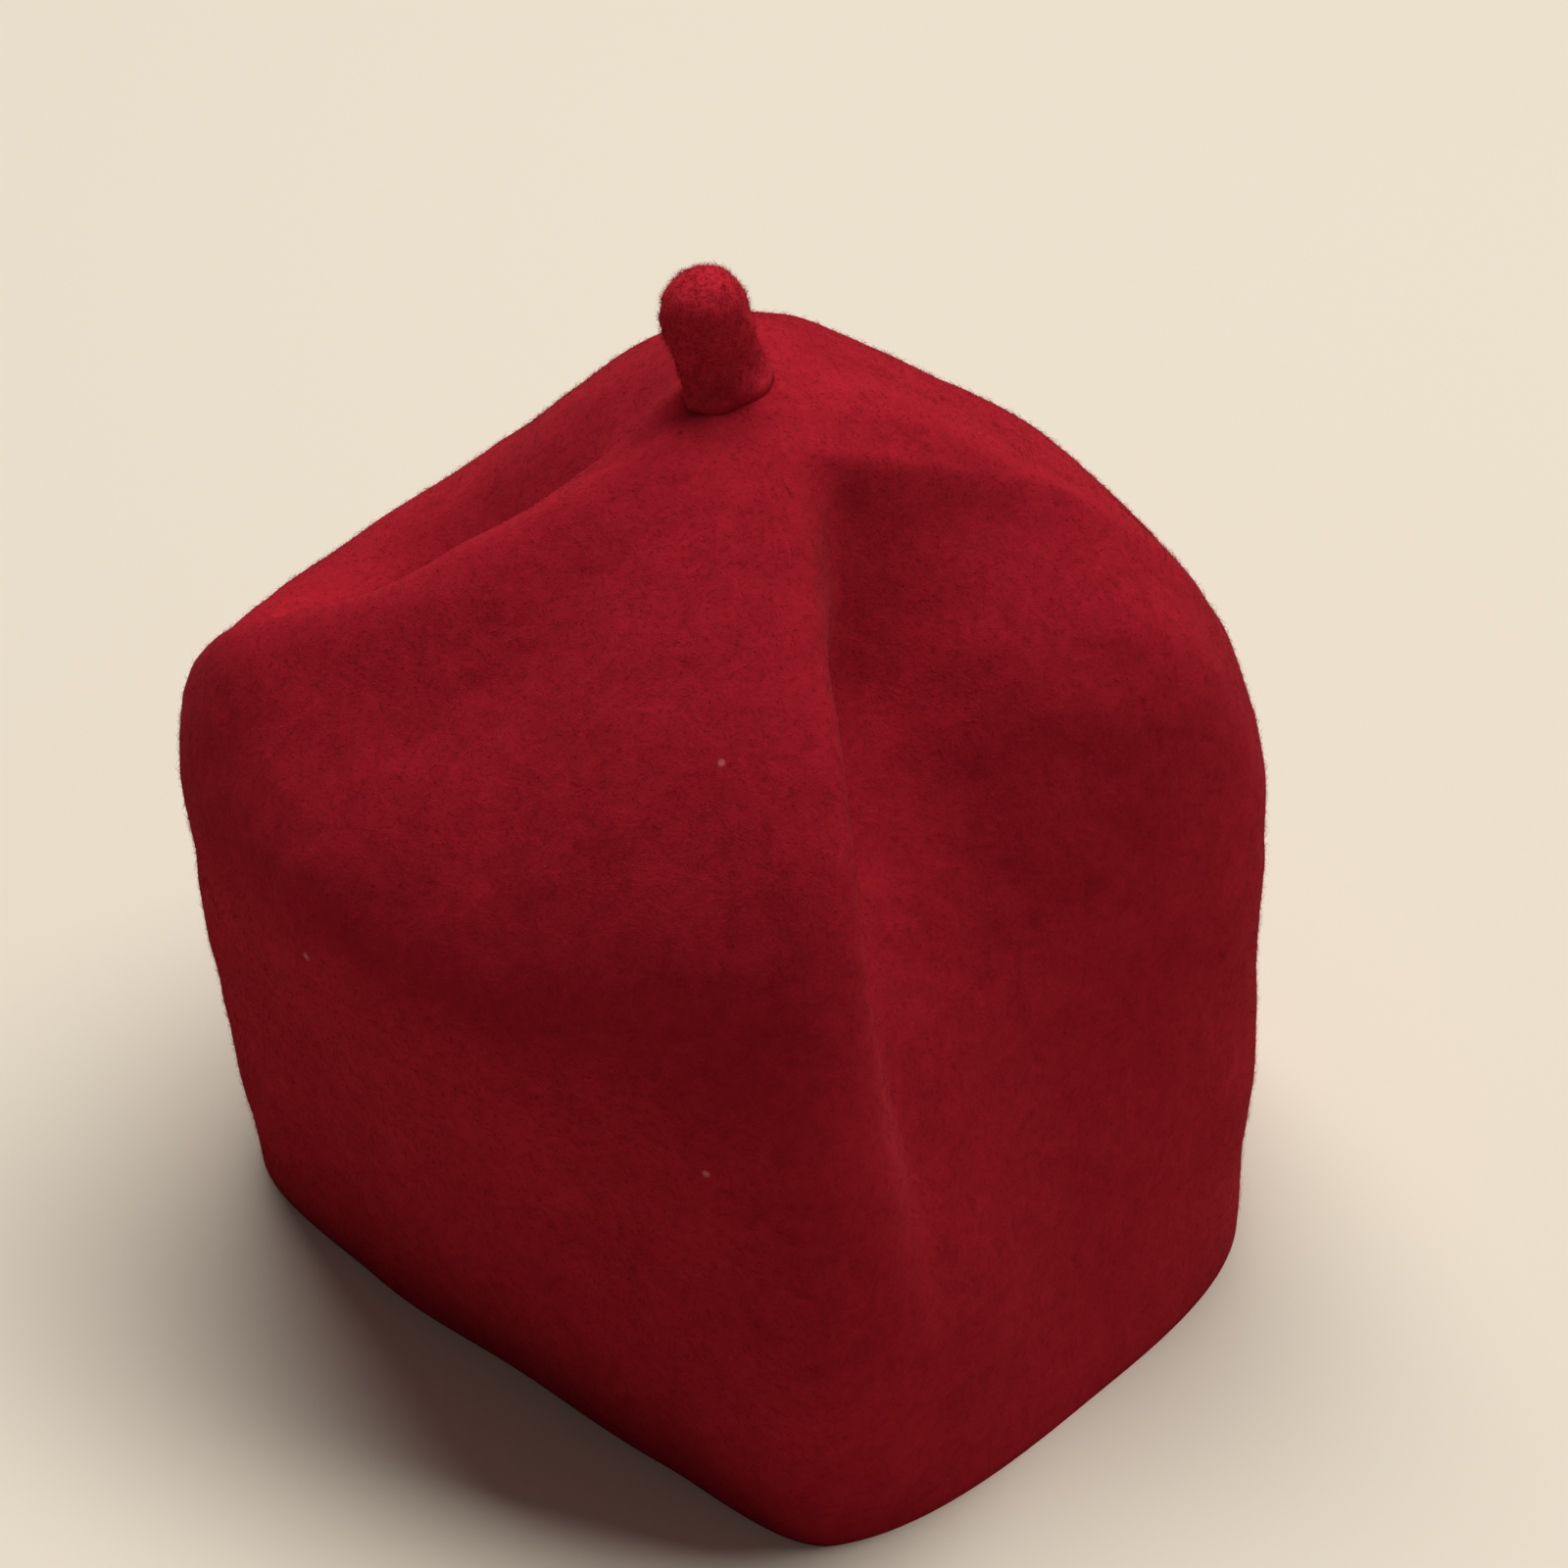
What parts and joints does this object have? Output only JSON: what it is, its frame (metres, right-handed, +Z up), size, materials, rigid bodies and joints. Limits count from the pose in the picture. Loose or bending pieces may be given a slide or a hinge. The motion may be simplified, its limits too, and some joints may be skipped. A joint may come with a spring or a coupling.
{
  "type": "felt chief cap",
  "caption": "Soft red cap of thick milled felt, open at the rim, its crown pressed into a front crease, side ridges and dents, with a short felt stalk on top.",
  "frame": {"origin": "on the floor, under the middle of the cap's box, with the open rim on the floor", "axes": "+Z up out of the crown, -Y the front with its long crease, +X to the right as seen from the front"},
  "size_m": [0.1864, 0.1974, 0.1919],
  "materials": {
    "felt": "matt milled wool felt with a short fine nap",
    "stalk_felt": "matt twisted felt with a longer fuzz, a little darker"
  },
  "bodies": {
    "root": {"crown": "felt", "stalk": "stalk_felt"}
  },
  "joints": []
}
